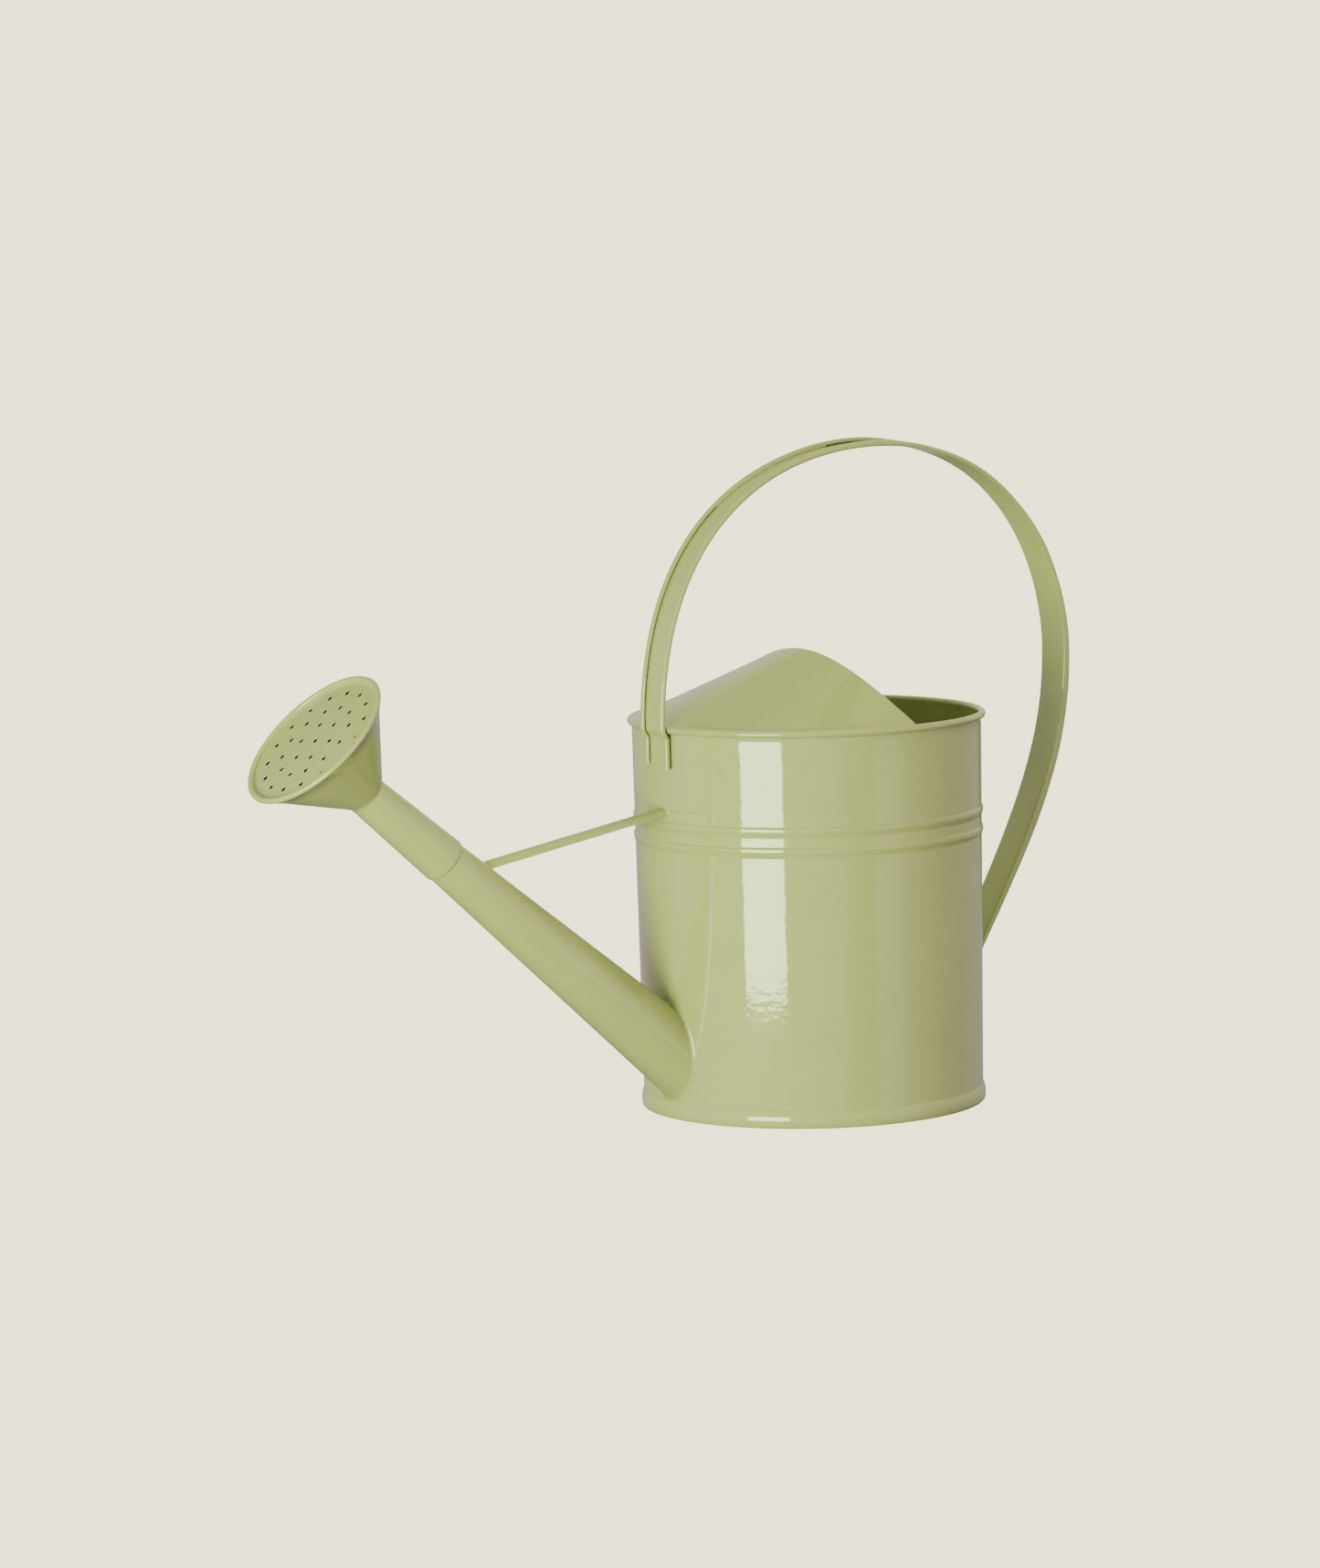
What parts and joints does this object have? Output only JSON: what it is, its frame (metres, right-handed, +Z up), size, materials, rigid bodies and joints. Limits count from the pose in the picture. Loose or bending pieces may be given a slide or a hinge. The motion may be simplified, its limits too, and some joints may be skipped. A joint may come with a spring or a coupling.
{
  "type": "watering can",
  "caption": "Enamelled sheet-metal watering can with a splash hood, arched strap handle with rolled edges, braced tapered spout and a push-on rose with a perforated face",
  "frame": {"origin": "on the floor, under the middle of the can's bounding box; the can stands on z = 0", "axes": "+Z is up, the spout points to -X and the handle's back to +X, and the can is symmetric across the XZ plane"},
  "size_m": [0.5034, 0.1918, 0.3546],
  "materials": {
    "enamel_wall": "glossy enamel over sheet steel",
    "enamel_handle": "glossy enamel over sheet steel",
    "enamel_spout": "glossy enamel over sheet steel",
    "enamel_rose": "glossy enamel over sheet steel",
    "solder": "soldered fillet under the enamel",
    "wire": "plain drawn steel wire",
    "seal": "matt moulded rubber"
  },
  "bodies": {
    "can": {"base_plate": "enamel_wall", "body_shell": "enamel_wall", "brace": "enamel_spout", "brace_spout_solder": "solder", "brace_wall_solder": "solder", "handle_strap": "enamel_handle", "hood": "enamel_wall", "hood_solder": "solder", "rim_wire": "wire", "spout_solder": "solder", "spout_tube": "enamel_spout"},
    "seal": {"rose_seal": "seal"},
    "rose": {"rose_cone": "enamel_rose", "rose_face": "enamel_rose", "rose_neck_solder": "solder", "rose_sleeve": "enamel_rose"}
  },
  "joints": [
    {"name": "rose_pull", "type": "slide", "parent": "can", "child": "seal", "axis": [-0.7669, 0, 0.6417], "range_m": [0, 0.06]},
    {"name": "rose_turn", "type": "hinge", "parent": "seal", "child": "rose", "pos_m": [-0.14623, 0, 0.1507], "axis": [-0.7669, 0, 0.6417], "continuous": true}
  ]
}
